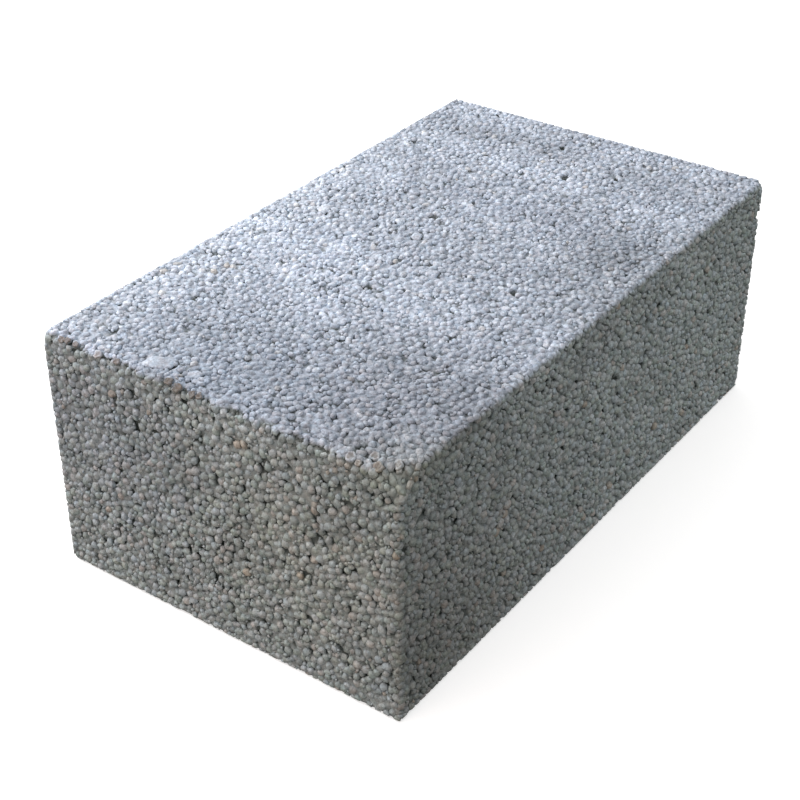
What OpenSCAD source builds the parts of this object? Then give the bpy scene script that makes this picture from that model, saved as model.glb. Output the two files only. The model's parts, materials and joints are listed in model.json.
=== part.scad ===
// Solid masonry block of lightweight expanded clay aggregate concrete.
// It was pressed and vibrated in a mould as one piece, so it is one solid. It lies on a bed
// face, with its origin at the centre of that face: X runs along it, Y across it and Z up.
// The grains of its open texture are left out: the faces here are the planes that they reach.

/* [Block] */
// Length, along X
block_length = 490; // [250:5:600]
// Width, along Y, which is the thickness of the wall that it makes
block_width = 290; // [150:5:400]
// Height of one course, from bed face to bed face
block_height = 190; // [90:5:300]

/* [Arrises] */
// Radius of the four upright arrises, as the corners of the mould leave them
upright_arris_radius = 4; // [1:0.5:12]
// Radius of the arrises round the top bed face, where the press shoe met the mould
top_arris_radius = 5; // [1:0.5:12]
// Radius of the arrises round the bottom bed face, which stood on the pallet
bottom_arris_radius = 4; // [1:0.5:12]

/* [Worn corners] */
// How far the wear of the most worn top corner runs along both top arrises
worn_corner_reach = 43; // [20:1:70]
// How far that wear runs down the upright arris below the top
worn_corner_depth = 15; // [5:1:40]
// How far the lighter wear of the two top corners next to it runs along both top arrises
rubbed_corner_reach = 14; // [8:1:30]
// How far the lighter wear runs down the upright arris below the top
rubbed_corner_depth = 10; // [5:1:30]

/* [Hidden] */
$fn = 96;

// Colour of the cement-coated grains, between the pale top and the grey sides
concrete_grey = [0.55, 0.56, 0.57];

// How far a cutting shape stands clear of the faces that it cuts
cut_clearance = 2;

// An upright outline on the X axis, with one radius at its upper corners and one at its lower
module arris_outline(width, height, upper_radius, lower_radius) {
    translate([-width / 2, lower_radius])
        square([width, height - upper_radius - lower_radius]);
    translate([-width / 2 + lower_radius, 0])
        square([width - 2 * lower_radius, height / 2]);
    translate([-width / 2 + upper_radius, height / 2])
        square([width - 2 * upper_radius, height / 2]);
    for (side = [-1, 1]) {
        translate([side * (width / 2 - upper_radius), height - upper_radius])
            circle(r = upper_radius);
        translate([side * (width / 2 - lower_radius), lower_radius])
            circle(r = lower_radius);
    }
}

// The block as it left the mould: three crossing extrusions, one for each of its outlines,
// leave only what all of them hold, and so every arris comes out round
module moulded_block() {
    intersection() {
        translate([0, -block_width / 2, 0])
            linear_extrude(height = block_height)
                arris_outline(
                    block_length, block_width, upright_arris_radius, upright_arris_radius);
        rotate([90, 0, 0])
            linear_extrude(height = block_width, center = true)
                arris_outline(
                    block_length, block_height, top_arris_radius, bottom_arris_radius);
        rotate([90, 0, 90])
            linear_extrude(height = block_length, center = true)
                arris_outline(
                    block_width, block_height, top_arris_radius, bottom_arris_radius);
    }
}

// What has worn off the top corner at low X and low Y: a square piece of the corner outside
// an upright cone, whose axis stands as far from both faces as the wear reaches. At the top
// the cone touches both arrises, and it widens downwards until it meets the corner itself.
module worn_off_corner(reach, depth) {
    spread = reach * (sqrt(2) - 1) / depth;
    cut_height = depth + cut_clearance;
    cone_height = cut_height + 2 * cut_clearance;
    cone_foot_radius = reach * sqrt(2) + spread * cut_clearance;
    translate([-block_length / 2, -block_width / 2, block_height - depth])
        difference() {
            translate([-cut_clearance, -cut_clearance, 0])
                cube([reach + cut_clearance, reach + cut_clearance, cut_height]);
            translate([reach, reach, -cut_clearance])
                cylinder(
                    h = cone_height,
                    r1 = cone_foot_radius,
                    r2 = cone_foot_radius - spread * cone_height);
        }
}

// The whole block
module block() {
    color(concrete_grey)
        difference() {
            moulded_block();
            worn_off_corner(worn_corner_reach, worn_corner_depth);
            mirror([1, 0, 0])
                worn_off_corner(rubbed_corner_reach, rubbed_corner_depth);
            mirror([0, 1, 0])
                worn_off_corner(rubbed_corner_reach, rubbed_corner_depth);
        }
}

block();
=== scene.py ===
# %% [markdown]
# # A masonry block of expanded clay aggregate concrete
# Such a block is made of fired clay pellets, 2 to 8 mm across, that cement paste glues to each
# other. There is too little paste to fill the space between them, so the face of the block
# isn't a smooth surface: it is the first layer of a heap of pellets, with pores that go
# deeper. This lesson builds that layer grain by grain around the plain solid of the CAD
# frame, so that the pores are real holes which catch real shadow. The frame comes first,
# because every size is measured from it.

# %% Load the frame
import json
import math

import bmesh
import bpy
import numpy as np
from mathutils import Matrix, Vector

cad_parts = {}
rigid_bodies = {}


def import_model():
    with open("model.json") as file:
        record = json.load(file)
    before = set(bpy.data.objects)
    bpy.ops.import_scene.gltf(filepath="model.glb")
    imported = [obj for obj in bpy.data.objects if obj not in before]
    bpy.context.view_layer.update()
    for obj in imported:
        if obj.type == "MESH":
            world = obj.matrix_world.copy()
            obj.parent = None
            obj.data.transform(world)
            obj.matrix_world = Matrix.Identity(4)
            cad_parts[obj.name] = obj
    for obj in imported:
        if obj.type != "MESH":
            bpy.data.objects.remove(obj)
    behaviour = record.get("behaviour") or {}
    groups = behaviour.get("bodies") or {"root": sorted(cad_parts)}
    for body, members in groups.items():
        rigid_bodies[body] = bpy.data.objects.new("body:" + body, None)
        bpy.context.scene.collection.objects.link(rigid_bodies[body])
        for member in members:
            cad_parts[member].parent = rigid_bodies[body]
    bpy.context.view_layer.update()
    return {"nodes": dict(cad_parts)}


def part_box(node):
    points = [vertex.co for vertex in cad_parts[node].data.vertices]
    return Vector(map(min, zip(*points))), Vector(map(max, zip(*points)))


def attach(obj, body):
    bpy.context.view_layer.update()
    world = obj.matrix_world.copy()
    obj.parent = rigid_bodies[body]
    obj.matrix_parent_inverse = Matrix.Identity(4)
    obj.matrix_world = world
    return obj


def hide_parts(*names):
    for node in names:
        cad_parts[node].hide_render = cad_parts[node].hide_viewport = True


MM = 0.001
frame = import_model()
LOW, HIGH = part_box("block")
SIZE = HIGH - LOW
print("block", [round(side / MM) for side in SIZE], "mm")

# %% [markdown]
# ## The camera
# The block is seen from a little above, over its worn corner, so three faces show. A camera
# can be placed by eye, or worked out from the places of the corners in a picture. Here it was
# worked out, and it comes to a short telephoto lens about a metre away. The camera looks at a
# point near the middle of the block, and is turned there by a track quaternion.

# %% Camera
CAMERA_PLACE = Vector((-832.4, -563.7, 712.4)) * MM
CAMERA_TARGET = Vector((-56.7, -10.8, 94.3)) * MM
CAMERA_LENS_MM = 70.85
CAMERA_SENSOR_MM = 36.0

scene = bpy.context.scene
camera_data = bpy.data.cameras.new("camera")
camera_data.lens = CAMERA_LENS_MM
camera_data.sensor_width = CAMERA_SENSOR_MM
camera_data.clip_start = 10 * MM
camera = bpy.data.objects.new("camera", camera_data)
camera.location = CAMERA_PLACE
line_of_sight = CAMERA_TARGET - CAMERA_PLACE
camera.rotation_euler = line_of_sight.to_track_quat("-Z", "Y").to_euler()
scene.collection.objects.link(camera)
scene.camera = camera
print("camera", round(line_of_sight.length / MM), "mm from its target")

# %% [markdown]
# ## One helper for every node
# Materials and Geometry Nodes are both node trees. The same small function adds a node to
# either: its settings are keyword arguments, and its inputs are a dictionary in which a
# socket is linked and a plain value is written. An input is named as Blender shows it, and
# the first one in use wins where a node has several of that name. Most nodes are wanted for
# their one result, so the second helper hands that over.

# %% Node and colour helpers
MATH = "ShaderNodeMath"
VECTOR_MATH = "ShaderNodeVectorMath"
MAP_RANGE = "ShaderNodeMapRange"
MIX = "ShaderNodeMix"
NOISE = "ShaderNodeTexNoise"


def add_node(tree, kind, inputs=None, **settings):
    """A new node of this kind, with its settings made and its inputs linked or written."""
    made = tree.nodes.new(kind)
    for name, value in settings.items():
        setattr(made, name, value)
    for name, value in (inputs or {}).items():
        if isinstance(name, int):
            socket = made.inputs[name]
        else:
            socket = next(s for s in made.inputs if s.name == name and s.enabled)
        if isinstance(value, bpy.types.NodeSocket):
            tree.links.new(value, socket)
        else:
            socket.default_value = value
    return made


def result_of(tree, kind, inputs=None, **settings):
    """Adds a node and gives its first output in use."""
    made = add_node(tree, kind, inputs, **settings)
    return next(s for s in made.outputs if s.enabled)


def empty_tree(owner):
    """The node tree of a new material or world, without the nodes that it starts with."""
    owner.use_nodes = True
    owner.node_tree.nodes.clear()
    return owner.node_tree


def linear(hex_colour):
    """An sRGB hex colour, such as "#8A8C88", as the linear RGBA that a shader takes."""
    values = [int(hex_colour[i:i + 2], 16) / 255 for i in (1, 3, 5)]
    return [v / 12.92 if v <= 0.04045 else ((v + 0.055) / 1.055) ** 2.4 for v in values] + [1]


# %% [markdown]
# ## Floor and sky
# The block stands on a plain white studio floor. A white floor throws a lot of light back up
# at the sides, and the block would lose its shade, so the floor is white only to the camera
# and to glossy rays, and grey to the rest. The shadow stays, because both are lit the same
# way. The sky does the same: it is white to look at, and lights the block evenly at a lower
# level.

# %% Floor and world
FLOOR_WHITE = "#F4F4F4"
FLOOR_TO_LIGHT = "#505050"
FLOOR_GLOW = 0.5
FLOOR_HALF_SIDE = 6.0
SKY_LEVEL = 0.73


def is_looked_at(tree):
    """1 for rays that look at a thing, also by way of a mirror or glass, and 0 for the rest."""
    path = add_node(tree, "ShaderNodeLightPath").outputs
    looked_at = result_of(tree, MATH, {
        0: path["Is Camera Ray"], 1: path["Is Glossy Ray"]}, operation="MAXIMUM")
    return result_of(tree, MATH, {
        0: looked_at, 1: path["Is Transmission Ray"]}, operation="MAXIMUM")


def studio_floor():
    """A floor that the camera sees as white with a faint shadow, and light sees as grey."""
    mesh = bpy.data.meshes.new("studio_floor")
    far = FLOOR_HALF_SIDE
    corners = [(-far, -far, 0), (far, -far, 0), (far, far, 0), (-far, far, 0)]
    mesh.from_pydata(corners, [], [(0, 1, 2, 3)])
    floor = bpy.data.objects.new("studio_floor", mesh)
    scene.collection.objects.link(floor)

    material = bpy.data.materials.new("studio floor paint")
    tree = empty_tree(material)
    grey = result_of(tree, "ShaderNodeBsdfDiffuse", {"Color": linear(FLOOR_TO_LIGHT)})
    white = result_of(tree, "ShaderNodeBsdfDiffuse", {"Color": linear(FLOOR_WHITE)})
    glow = result_of(tree, "ShaderNodeEmission", {"Strength": FLOOR_GLOW})
    shown = result_of(tree, "ShaderNodeAddShader", {0: white, 1: glow})
    either = result_of(tree, "ShaderNodeMixShader", {
        0: is_looked_at(tree), 1: grey, 2: shown})
    add_node(tree, "ShaderNodeOutputMaterial", {"Surface": either})
    mesh.materials.append(material)
    return floor


def studio_world():
    """A white background for the camera, and an even sky for everything else."""
    world = bpy.data.worlds.new("studio sky")
    tree = empty_tree(world)
    level = result_of(tree, MIX, {"Factor": is_looked_at(tree), "A": SKY_LEVEL, "B": 1.0})
    sky = result_of(tree, "ShaderNodeBackground", {"Color": (1, 1, 1, 1), "Strength": level})
    add_node(tree, "ShaderNodeOutputWorld", {"Surface": sky})
    return world


floor = studio_floor()
scene.world = studio_world()
scene.view_settings.view_transform = "Standard"
print("sky level", SKY_LEVEL, "and floor glow", FLOOR_GLOW)

# %% [markdown]
# ## Two soft lamps
# The light is that of a bright hazy day. The sky gives most of it. A broad lamp high up
# beyond the far long side makes the top the brightest face and lets its far part gleam a
# little, and a weaker, slightly warm one lights the end.

# %% Lamps
KEY_LAMP = {"place": (-300, 1150, 1150), "side": 900, "power": 18.0, "colour": "#FFFFFF"}
END_LAMP = {"place": (-2000, 300, 900), "side": 1400, "power": 10.5, "colour": "#FFE6DC"}


def soft_lamp(name, place, side, power, colour):
    """A square lamp, sized and placed in mm, that faces the middle of the block."""
    data = bpy.data.lights.new(name, "AREA")
    data.shape = "SQUARE"
    data.size = side * MM
    data.energy = power
    data.color = linear(colour)[:3]
    lamp = bpy.data.objects.new(name, data)
    lamp.location = Vector(place) * MM
    to_block = (LOW + HIGH) / 2 - lamp.location
    lamp.rotation_euler = to_block.to_track_quat("-Z", "Y").to_euler()
    scene.collection.objects.link(lamp)
    return lamp


for name, settings in {"key_lamp": KEY_LAMP, "end_lamp": END_LAMP}.items():
    soft_lamp(name, **settings)
    print(name, settings["power"], "W")

# %% [markdown]
# ## Cement-coated clay
# Each pellet is a rounded lump of fired clay in a film of grey cement. The film is matt, with
# hardly any gleam. It differs from grain to grain, and a few grains show the tan clay. On the
# top bed a bluish film of laitance has settled, with a dusting over it, in smears that run over
# several grains. Its paler and bluer colour is also painted sky light, which the top gets more
# of than the sides. Attributes that the pellets bring with them say the rest: tint is a random
# number for each grain, depth is how far a point lies below the face and sets how much painted
# shade it gets, and core is 1 inside a broken grain. A pattern is noise with waves of a real
# size, between a least and a most gain in red, green and blue. Only the grit is drawn coarser
# than it is, because real grit is too fine for the camera to show.

# %% Colours and patterns of the concrete
SIDE_COLOURS = (
    (0.0, "#979E9B"), (0.2, "#A7ACAB"), (0.4, "#A2ABA4"), (0.6, "#AEB4B1"),
    (0.8, "#AEB6B9"), (0.93, "#B4B4B1"), (0.99, "#B0ACA6"), (1.0, "#ADA396"))
# The bed colours are a laitance film and also painted sky light: paler and bluer than the
# sides.
BED_FILM_AND_SKYLIGHT_COLOURS = (
    (0.0, "#BAC3CF"), (0.3, "#C1C9D7"), (0.6, "#C6CEDB"), (0.88, "#C9D0DC"),
    (0.98, "#CBD1DB"), (0.995, "#C9CBD0"), (1.0, "#C6C4C2"))
CLAY_CORE = "#786C60"
# Painted shade: the colours towards which points deep below the face darken, sides and bed.
PAINTED_PORE_SHADE = "#666C68"
PAINTED_BED_PORE_SHADE = "#8D939E"
LIT_TO_MM = 2.1
PAINTED_SHADE_FROM_MM = 4.4
SMEARED_LAITANCE = (5.2, (0.75, 0.75, 0.76), (1.17, 1.17, 1.17))
PATTERNS_MM = (
    ("grit in the film", 1.4, (0.80, 0.80, 0.79), (1.11, 1.11, 1.12)),
    ("mottling of the film", 2.1, (0.81, 0.79, 0.79), (1.13, 1.15, 1.15)),
    ("tinge of the grains", 4.5, (0.955, 1.01, 1.04), (1.045, 0.99, 0.96)),
    ("handfuls of grains", 6.0, (0.88, 0.89, 0.90), (1.09, 1.09, 1.08)),
    ("clumps of grains", 16.0, (0.90, 0.91, 0.92), (1.08, 1.07, 1.06)),
    ("clouds", 75.0, (0.92, 0.92, 0.92), (1.09, 1.09, 1.09)),
)
NOISE_LOW = 0.3
NOISE_HIGH = 0.7


def grain_colour(tree, tint, colours):
    """The colour of a grain, picked from this row of colours by its random number."""
    row = add_node(tree, "ShaderNodeValToRGB", {"Fac": tint})
    stops = row.color_ramp.elements
    while len(stops) < len(colours):
        stops.new(1.0)
    for stop, (position, colour) in zip(stops, colours):
        stop.position = position
        stop.color = linear(colour)
    return row.outputs["Color"]


def patterned(tree, place, colour, size_mm, least, most):
    """The colour times a gain that wanders between the least and the most."""
    noise = result_of(tree, NOISE, {
        "Vector": place, "Scale": 1 / (size_mm * MM), "Detail": 2.0})
    share = result_of(tree, MAP_RANGE, {
        "Value": noise, "From Min": NOISE_LOW, "From Max": NOISE_HIGH})
    gain = result_of(tree, MIX, {
        "Factor": share, "A": least, "B": most}, data_type="VECTOR")
    return result_of(tree, VECTOR_MATH, {0: colour, 1: gain}, operation="MULTIPLY")


# %% [markdown]
# ## Marks of pressing and wear, and painted shade and sheen
# No face of a real block is one even grey. The press shoe leaves pale and dull bands across
# the top, the long side is darker at its worn end, and the worn corner has a browner tip. Some
# marks are painted light: shade along the foot of the long side, on the skirt of the worn
# corner and down the near arris, and a sheen along the far edge of the top.
# They could be painted as an image, but marks that are placed in millimetres need no map and
# are easily moved, so each is a soft spot in the material, with a place, a reach and a gain.
# A mark on a face needs only the two coordinates along that face, because all of them reach
# equally deep. The few that lie round an arris or a corner have three.

# %% Marks on the faces
MARK_DEPTH_MM = 12
TOP_MARKS_MM = (
    # These two make the top darker round the worn corner.
    ("darker worn corner of the top", (-205, -105), (175, 150), (0.77, 0.76, 0.76)),
    ("darker strip by the long arris", (-155, -124), (62, 34), 0.84),
    ("dull end", (-215, 15), (125, 120), (0.83, 0.85, 0.87)),
    # Painted sheen: the far edge is a paler film and also a painted sheen of the sky.
    ("paler film and painted sheen on the far edge", (-20, 175), (380, 110), (1.42, 1.41, 1.38)),
    ("pale press mark", (-78, 30), (85, 180), 1.19),
    ("pale middle", (-35, 60), (140, 90), 1.11),
    ("dull spot by the press mark", (-136, -66), (58, 62), 0.81),
    ("second pale press mark", (156, -8), (36, 190), 1.14),
    ("third pale press mark", (226, -52), (34, 80), 1.18),
    ("pale patch by the long arris", (134, -104), (50, 45), 1.17),
    ("dull patch by the long arris", (68, -100), (55, 42), 0.80),
    ("dull blotch", (9, -23), (45, 32), 0.87),
    ("pale far end", (234, 92), (32, 85), 1.17),
    ("dull far corner", (190, -140), (60, 28), 0.88),
    ("pale patch of the far edge", (95, 98), (85, 50), 1.12),
    ("dull front edge", (58, -150), (132, 100), (0.79, 0.79, 0.78)),
    ("dull press mark", (88, -30), (32, 160), (0.93, 0.93, 0.94)),
    ("second dull press mark", (196, 70), (22, 120), 0.90),
)
END_MARKS_MM = (
    ("warm part", (-80, 100), (130, 110), (1.03, 1.0, 0.95)),
    ("pale top", (30, 175), (120, 34), 1.12),
    ("pale blotch", (44, 72), (36, 30), 1.12),
    ("dull blotch", (-97, 136), (40, 34), 0.84),
    ("cool far part", (110, 130), (150, 130), (0.98, 0.98, 1.04)),
)
LONG_SIDE_MARKS_MM = (
    # Darker towards the worn end of the long side.
    ("darker worn end", (-225, 75), (200, 150), (0.73, 0.70, 0.68)),
    ("dull part", (-112, 122), (70, 75), 0.91),
    # A darker, warmer band under the worn corner.
    ("darker warmer band under the worn corner", (-182, 184), (55, 26), (0.82, 0.80, 0.78)),
    # Painted shade along the foot of the long side.
    ("painted shade along the foot", (-190, 5), (220, 90), (0.80, 0.78, 0.76)),
    # Paler far part of the long side.
    ("paler far part", (180, 95), (280, 180), (1.11, 1.13, 1.13)),
)
ARRIS_MARKS_MM = (
    ("brown grains before the pads", (-244, 42, 188), (10, 38, 12), (0.82, 0.80, 0.77)),
    ("brown tip of the worn corner", (-238, -138, 186), (60, 60, 20), (1.0, 0.97, 0.88)),
    # Painted shade on the skirt of the worn corner and down the near arris.
    ("painted shade on the skirt of the worn corner", (-240, -135, 168), (80, 80, 30), (0.90, 0.91, 0.90)),
    ("painted shade down the near arris", (-245, -145, 120), (32, 32, 150), (0.91, 0.91, 0.90)),
    # A paler foot of the near arris.
    ("paler foot of the near arris", (-245, -145, 5), (30, 30, 32), 1.35),
)


def marks_in_space():
    """Every mark as its place, its reach and its gain, all with three coordinates."""
    deep = MARK_DEPTH_MM
    top, end, side = HIGH.z / MM, LOW.x / MM, LOW.y / MM
    marks = [((x, y, top), (long, wide, deep), gain)
             for _, (x, y), (long, wide), gain in TOP_MARKS_MM]
    marks += [((end, y, z), (deep, wide, high), gain)
              for _, (y, z), (wide, high), gain in END_MARKS_MM]
    marks += [((x, side, z), (long, deep, high), gain)
              for _, (x, z), (long, high), gain in LONG_SIDE_MARKS_MM]
    marks += [mark[1:] for mark in ARRIS_MARKS_MM]
    return [(Vector(place) * MM, Vector(reach) * MM,
             gain if isinstance(gain, tuple) else (gain, gain, gain))
            for place, reach, gain in marks]


def marked(tree, place, colour, middle, reach, gain):
    """The colour times this gain in the middle of a mark, and unchanged beyond its reach."""
    away = result_of(tree, VECTOR_MATH, {0: place, 1: middle}, operation="SUBTRACT")
    away = result_of(tree, VECTOR_MATH, {0: away, 1: reach}, operation="DIVIDE")
    away = result_of(tree, VECTOR_MATH, {0: away}, operation="LENGTH")
    fade = result_of(tree, MAP_RANGE, {"Value": away}, interpolation_type="SMOOTHSTEP")
    gain = result_of(tree, MIX, {
        "Factor": fade, "A": gain, "B": (1.0, 1.0, 1.0)}, data_type="VECTOR")
    return result_of(tree, VECTOR_MATH, {0: colour, 1: gain}, operation="MULTIPLY")


marks = marks_in_space()
print("marks on the faces:", len(marks))

# %% [markdown]
# ## The material of the concrete
# Laitance lies all over the top bed, also down the flanks of its grains, and is painted paler
# and bluer there for the sky light on the top as well. A little dusting lies on whatever faces
# up elsewhere, and makes it paler as a painted highlight from above too. Both follow from the
# height of a point and the way that it faces. Hardly any light comes back from deep below the
# face, so a point there is painted with the dark colour of shade in pores: painted shade. The
# lumps and pits of the film are too fine for the mesh, and are bump.

# %% Dust, painted sky light and highlight, and roughness
# Where the top bed reaches, with its laitance film and its painted sky light.
BED_FILM_AND_SKYLIGHT_FACES = (-0.6, 0.2)
BED_FILM_AND_SKYLIGHT_BELOW_MM = (4.5, 1.5)
# Painted highlight as well as dusting: the upward faces of the side grains are made paler.
SIDE_DUST_AND_HIGHLIGHT_FACES = (0.1, 0.8)
SIDE_DUST_AND_HIGHLIGHT = 0.22
BUMPS_MM = (("lumps", 2.0, 0.85), ("pitting", 0.8, 0.35))


def settled_dust_and_painted_light(tree, height, upward):
    """Shares of top bed with painted sky light, and of all dusting and painted light, at a
    point.
    """
    lies_up = result_of(tree, MAP_RANGE, {
        "Value": upward, "From Min": BED_FILM_AND_SKYLIGHT_FACES[0], "From Max": BED_FILM_AND_SKYLIGHT_FACES[1]})
    on_bed = result_of(tree, MAP_RANGE, {
        "Value": height, "From Min": HIGH.z - BED_FILM_AND_SKYLIGHT_BELOW_MM[0] * MM,
        "From Max": HIGH.z - BED_FILM_AND_SKYLIGHT_BELOW_MM[1] * MM})
    bed_film_and_skylight = result_of(tree, MATH, {0: lies_up, 1: on_bed}, operation="MULTIPLY")
    # Painted highlight: the side grains are paler where they face up, as dusting and as light.
    side_dust_and_highlight = result_of(tree, MAP_RANGE, {
        "Value": upward, "From Min": SIDE_DUST_AND_HIGHLIGHT_FACES[0], "From Max": SIDE_DUST_AND_HIGHLIGHT_FACES[1],
        "To Max": SIDE_DUST_AND_HIGHLIGHT})
    return bed_film_and_skylight, result_of(tree, MATH, {0: bed_film_and_skylight, 1: side_dust_and_highlight}, operation="MAXIMUM")


def rough_normal(tree, place):
    """The shading normal of the lumpy film, with the pitting added to the lumps."""
    normal = None
    for _, size, rise in BUMPS_MM:
        noise = result_of(tree, NOISE, {
            "Vector": place, "Scale": 1 / (size * MM), "Detail": 1.0})
        bump = add_node(tree, "ShaderNodeBump", {"Height": noise, "Distance": rise * MM})
        if normal is not None:
            tree.links.new(normal, bump.inputs["Normal"])
        normal = bump.outputs[0]
    return normal


# %% Concrete material
def concrete_material():
    """Matt cement film over fired clay, every pattern at its real size, with painted light and
    shade.
    """
    material = bpy.data.materials.new("cement-coated expanded clay")
    tree = empty_tree(material)
    place = add_node(tree, "ShaderNodeTexCoord").outputs["Object"]
    height = add_node(tree, "ShaderNodeSeparateXYZ", {0: place}).outputs["Z"]
    normal = add_node(tree, "ShaderNodeNewGeometry").outputs["Normal"]
    upward = add_node(tree, "ShaderNodeSeparateXYZ", {0: normal}).outputs["Z"]
    tint, depth, core = (
        add_node(tree, "ShaderNodeAttribute", attribute_name=name).outputs["Fac"]
        for name in ("tint", "depth", "core"))

    # Painted light: the top bed is paler and bluer for sky light, and what faces up paler
    # still.
    bed_film_and_skylight, dust_and_painted_light = settled_dust_and_painted_light(tree, height, upward)
    bed_film_and_skylight_colour = patterned(
        tree, place, grain_colour(tree, tint, BED_FILM_AND_SKYLIGHT_COLOURS), *SMEARED_LAITANCE)
    colour = result_of(tree, MIX, {
        "Factor": dust_and_painted_light, "A": grain_colour(tree, tint, SIDE_COLOURS),
        "B": bed_film_and_skylight_colour}, data_type="RGBA")
    colour = result_of(tree, MIX, {
        "Factor": core, "A": colour, "B": linear(CLAY_CORE)}, data_type="RGBA")
    for _, size, least, most in PATTERNS_MM:
        colour = patterned(tree, place, colour, size, least, most)
    for middle, reach, gain in marks:
        colour = marked(tree, place, colour, middle, reach, gain)

    # Painted shade: deeper than the lit depth the colour darkens to the colour of shade in
    # pores.
    painted_pore_shade = result_of(tree, MIX, {
        "Factor": bed_film_and_skylight, "A": linear(PAINTED_PORE_SHADE), "B": linear(PAINTED_BED_PORE_SHADE)}, data_type="RGBA")
    open_to_light = result_of(tree, MAP_RANGE, {
        "Value": depth, "From Min": PAINTED_SHADE_FROM_MM * MM, "From Max": LIT_TO_MM * MM})
    colour = result_of(tree, MIX, {
        "Factor": open_to_light, "A": painted_pore_shade, "B": colour}, data_type="RGBA")
    shader = result_of(tree, "ShaderNodeBsdfPrincipled", {
        "Base Color": colour, "Roughness": 0.92, "Specular IOR Level": 0.25,
        "Normal": rough_normal(tree, place)})
    add_node(tree, "ShaderNodeOutputMaterial", {"Surface": shader})
    return material


concrete = concrete_material()
print("material", concrete.name, "with", len(concrete.node_tree.nodes), "nodes")

# %% [markdown]
# ## The shapes of the pellets
# Fired clay pellets are rounded but never true balls. A dozen different lumps, turned and
# scaled at random, are enough that no repeat shows. Each one is the convex hull of a few
# rings of points with uneven radii, which gives a closed mesh of a few dozen triangles. Its
# origin is at the top of the crown, so that a pellet can be hung from the face it must reach.
# Each hull also carries pull, which says where a corner lies on the baked map, as a share of
# its distance from the middle.

# %% Pellet shapes
VARIANTS = 12
LARGE_RINGS = ((36, 5), (82, 7), (138, 3))
SMALL_RINGS = ((50, 4), (98, 6), (145, 3))
PELLET_UNEVENNESS = 0.22
MOST_OVAL = 0.24
STEP_UNEVENNESS = 0.2


def ring_points(rng, degrees, count, squareness):
    """One ring of a lump, this far from its pole, as points with uneven radii."""
    polar = math.radians(degrees)
    radius = math.sin(polar) ** squareness
    height = math.copysign(abs(math.cos(polar)) ** squareness, math.cos(polar))
    start = rng.uniform(0, 2 * math.pi)
    points = []
    for step in range(count):
        uneven_step = step + rng.uniform(-STEP_UNEVENNESS, STEP_UNEVENNESS)
        angle = start + 2 * math.pi * uneven_step / count
        reach = radius * (1 + rng.uniform(-PELLET_UNEVENNESS, PELLET_UNEVENNESS))
        lift = height + rng.uniform(-PELLET_UNEVENNESS, PELLET_UNEVENNESS) / 2
        points.append(Vector((reach * math.cos(angle), reach * math.sin(angle), lift)))
    return points


def pellet(name, seed, rings, squareness):
    """A closed lump about 2 across and 2 deep that hangs below the origin."""
    rng = np.random.default_rng(seed)
    oval = rng.uniform(0.0, MOST_OVAL)
    shape = bmesh.new()
    shape.verts.new((0, 0, 1.0))
    for degrees, count in rings:
        for point in ring_points(rng, degrees, count, squareness):
            shape.verts.new((point.x * (1 + oval), point.y * (1 - oval), point.z))
    bmesh.ops.convex_hull(shape, input=shape.verts)
    inner = [vertex for vertex in shape.verts if not vertex.link_faces]
    bmesh.ops.delete(shape, geom=inner, context="VERTS")
    bmesh.ops.recalc_face_normals(shape, faces=shape.faces)
    top = max(vertex.co.z for vertex in shape.verts)
    mesh = bpy.data.meshes.new(name)
    shape.to_mesh(mesh)
    shape.free()
    mark_pull(mesh)
    for vertex in mesh.vertices:
        vertex.co.z -= top
    return bpy.data.objects.new(name, mesh)


# %% Where the corners of a pellet lie on the baked map
UNDERSIDE_NORMAL = -0.85
DRAWN_IN = 0.95
LEAST_ARM = 0.2


def mark_pull(mesh):
    """Writes where each corner of a lump lies on the map, while its middle is the origin."""
    widest = max(vertex.co.xy.length for vertex in mesh.vertices)
    pull = mesh.attributes.new("pull", "FLOAT", "CORNER")
    for face in mesh.polygons:
        underside = face.normal.z < UNDERSIDE_NORMAL
        for loop in face.loop_indices:
            at = mesh.vertices[mesh.loops[loop].vertex_index].co
            if underside:
                pull.data[loop].value = 0.0
            elif at.z < 0:
                pull.data[loop].value = DRAWN_IN * widest / max(at.xy.length, LEAST_ARM)
            else:
                pull.data[loop].value = 1.0


# %% Sets of pellets
def pellet_set(name, first_seed, rings, squareness):
    """A collection of different pellets that isn't part of the scene."""
    group = bpy.data.collections.new(name)
    for i in range(VARIANTS):
        group.objects.link(pellet(f"{name}_{i:02d}", first_seed + i, rings, squareness))
    return group


round_pellets = pellet_set(
    "round_pellets", first_seed=0, rings=LARGE_RINGS, squareness=0.75)
pressed_pellets = pellet_set(
    "pressed_pellets", first_seed=40, rings=LARGE_RINGS, squareness=0.62)
small_pellets = pellet_set(
    "small_pellets", first_seed=80, rings=SMALL_RINGS, squareness=0.8)

# %% [markdown]
# ## The layer of pellets, as Geometry Nodes
# The pellets of a face repeat by a rule, so a node tree places them. It scatters points over
# the CAD shape with a least distance between them, measures how far the nearest neighbour
# is, and hangs a pellet of about that width on each point, so neighbours touch, as they do in
# a compacted heap, and their sizes vary by themselves. A share of the points is left out,
# which leaves some room. A second, closer scatter keeps only the points that fall between the
# first pellets, and hangs small ones there. The same tree makes all six faces: it always
# scatters over the whole block, so that pellets don't collide at an arris, and then keeps
# those that look the way of one side. It is put together from a few functions, each of which
# adds the nodes of one step.

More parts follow.
